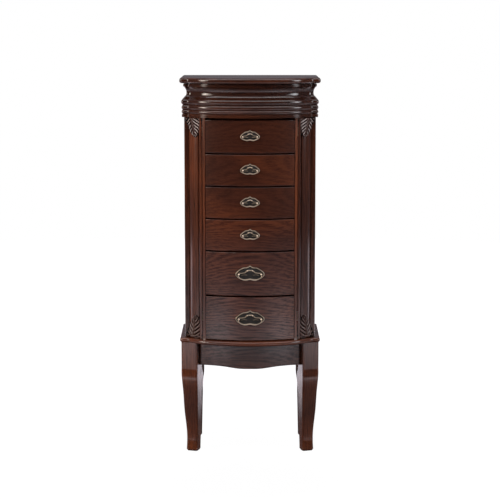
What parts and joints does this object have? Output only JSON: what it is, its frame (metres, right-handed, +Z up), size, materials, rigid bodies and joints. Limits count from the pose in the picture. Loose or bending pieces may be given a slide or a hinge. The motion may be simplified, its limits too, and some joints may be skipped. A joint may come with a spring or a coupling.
{
  "type": "jewelry armoire",
  "caption": "Free-standing jewelry armoire: bowed drawers with bail pulls, hinged side doors with canted pilasters, lift-up lid over a tray, moulded cornice, shaped legs.",
  "frame": {"origin": "on the floor, under the middle of the object's bounding box", "axes": "+X to the right seen from the front, +Y to the back, +Z up; the drawers face -Y"},
  "size_m": [0.38, 0.28, 1.016],
  "materials": {
    "cherry_wood": "dark cherry stain under a semi-gloss lacquer",
    "inner_wood": "satin stain",
    "carved_wood": "stained carving with worn high spots",
    "antique_brass": "antiqued, dark in the recesses",
    "hinge_steel": "brassed steel, satin",
    "felt": "soft felt",
    "felt_board": "board wrapped in felt",
    "mirror": "silvered glass"
  },
  "bodies": {
    "case": {"back_panel": "inner_wood", "case_hinge_leaves": "hinge_steel", "case_partitions": "inner_wood", "case_stiles": "cherry_wood", "case_top": "inner_wood", "cornice_back": "cherry_wood", "cornice_front": "cherry_wood", "cornice_sides": "cherry_wood", "door_catches": "hinge_steel", "drawer_runners": "inner_wood", "front_apron": "cherry_wood", "front_left_leg": "cherry_wood", "front_right_leg": "cherry_wood", "plinth": "cherry_wood", "rear_apron": "cherry_wood", "rear_left_leg": "cherry_wood", "rear_posts": "cherry_wood", "rear_right_leg": "cherry_wood", "ring_rolls": "felt", "side_aprons": "cherry_wood", "tray_dividers": "felt_board"},
    "lid": {"lid_board": "cherry_wood", "lid_hinge_leaves": "hinge_steel", "lid_mirror": "mirror", "lid_mirror_frame": "inner_wood"},
    "right_door": {"right_door_hinge_leaves": "hinge_steel", "right_door_hook_rail": "inner_wood", "right_door_ornaments": "carved_wood", "right_door_panel": "cherry_wood", "right_door_pilaster": "cherry_wood"},
    "left_door": {"left_door_hinge_leaves": "hinge_steel", "left_door_hook_rail": "inner_wood", "left_door_ornaments": "carved_wood", "left_door_panel": "cherry_wood", "left_door_pilaster": "cherry_wood"},
    "drawer_1": {"drawer_1_front": "cherry_wood", "drawer_1_box": "inner_wood", "drawer_1_pull_plate": "antique_brass"},
    "bail_1": {"drawer_1_pull_bail": "antique_brass"},
    "drawer_2": {"drawer_2_front": "cherry_wood", "drawer_2_box": "inner_wood", "drawer_2_pull_plate": "antique_brass"},
    "bail_2": {"drawer_2_pull_bail": "antique_brass"},
    "drawer_3": {"drawer_3_front": "cherry_wood", "drawer_3_box": "inner_wood", "drawer_3_pull_plate": "antique_brass"},
    "bail_3": {"drawer_3_pull_bail": "antique_brass"},
    "drawer_4": {"drawer_4_front": "cherry_wood", "drawer_4_box": "inner_wood", "drawer_4_pull_plate": "antique_brass"},
    "bail_4": {"drawer_4_pull_bail": "antique_brass"},
    "drawer_5": {"drawer_5_front": "cherry_wood", "drawer_5_box": "inner_wood", "drawer_5_pull_plate": "antique_brass"},
    "bail_5": {"drawer_5_pull_bail": "antique_brass"},
    "drawer_6": {"drawer_6_front": "cherry_wood", "drawer_6_box": "inner_wood", "drawer_6_pull_plate": "antique_brass"},
    "bail_6": {"drawer_6_pull_bail": "antique_brass"}
  },
  "joints": [
    {"name": "lid_hinge", "type": "hinge", "parent": "case", "child": "lid", "pos_m": [0, 0.1372, 1.001], "axis": [-1, 0, 0], "range_deg": [0, 100]},
    {"name": "right_door_hinge", "type": "hinge", "parent": "case", "child": "right_door", "pos_m": [0.1792, 0.11025, 0.6125], "axis": [0, 0, 1], "range_deg": [0, 110]},
    {"name": "left_door_hinge", "type": "hinge", "parent": "case", "child": "left_door", "pos_m": [-0.1792, 0.11025, 0.6125], "axis": [0, 0, -1], "range_deg": [0, 110]},
    {"name": "drawer_1_slide", "type": "slide", "parent": "case", "child": "drawer_1", "axis": [0, -1, 0], "range_m": [0, 0.15]},
    {"name": "bail_1_hinge", "type": "hinge", "parent": "drawer_1", "child": "bail_1", "pos_m": [0, -0.12886, 0.8621], "axis": [-1, 0, 0], "range_deg": [0, 75]},
    {"name": "drawer_2_slide", "type": "slide", "parent": "case", "child": "drawer_2", "axis": [0, -1, 0], "range_m": [0, 0.15]},
    {"name": "bail_2_hinge", "type": "hinge", "parent": "drawer_2", "child": "bail_2", "pos_m": [0, -0.12886, 0.7733], "axis": [-1, 0, 0], "range_deg": [0, 75]},
    {"name": "drawer_3_slide", "type": "slide", "parent": "case", "child": "drawer_3", "axis": [0, -1, 0], "range_m": [0, 0.15]},
    {"name": "bail_3_hinge", "type": "hinge", "parent": "drawer_3", "child": "bail_3", "pos_m": [0, -0.12886, 0.6865], "axis": [-1, 0, 0], "range_deg": [0, 75]},
    {"name": "drawer_4_slide", "type": "slide", "parent": "case", "child": "drawer_4", "axis": [0, -1, 0], "range_m": [0, 0.15]},
    {"name": "bail_4_hinge", "type": "hinge", "parent": "drawer_4", "child": "bail_4", "pos_m": [0, -0.12886, 0.5997], "axis": [-1, 0, 0], "range_deg": [0, 75]},
    {"name": "drawer_5_slide", "type": "slide", "parent": "case", "child": "drawer_5", "axis": [0, -1, 0], "range_m": [0, 0.15]},
    {"name": "bail_5_hinge", "type": "hinge", "parent": "drawer_5", "child": "bail_5", "pos_m": [0, -0.12785, 0.49573], "axis": [-1, 0, 0], "range_deg": [0, 75]},
    {"name": "drawer_6_slide", "type": "slide", "parent": "case", "child": "drawer_6", "axis": [0, -1, 0], "range_m": [0, 0.15]},
    {"name": "bail_6_hinge", "type": "hinge", "parent": "drawer_6", "child": "bail_6", "pos_m": [0, -0.12785, 0.37457], "axis": [-1, 0, 0], "range_deg": [0, 75]}
  ]
}
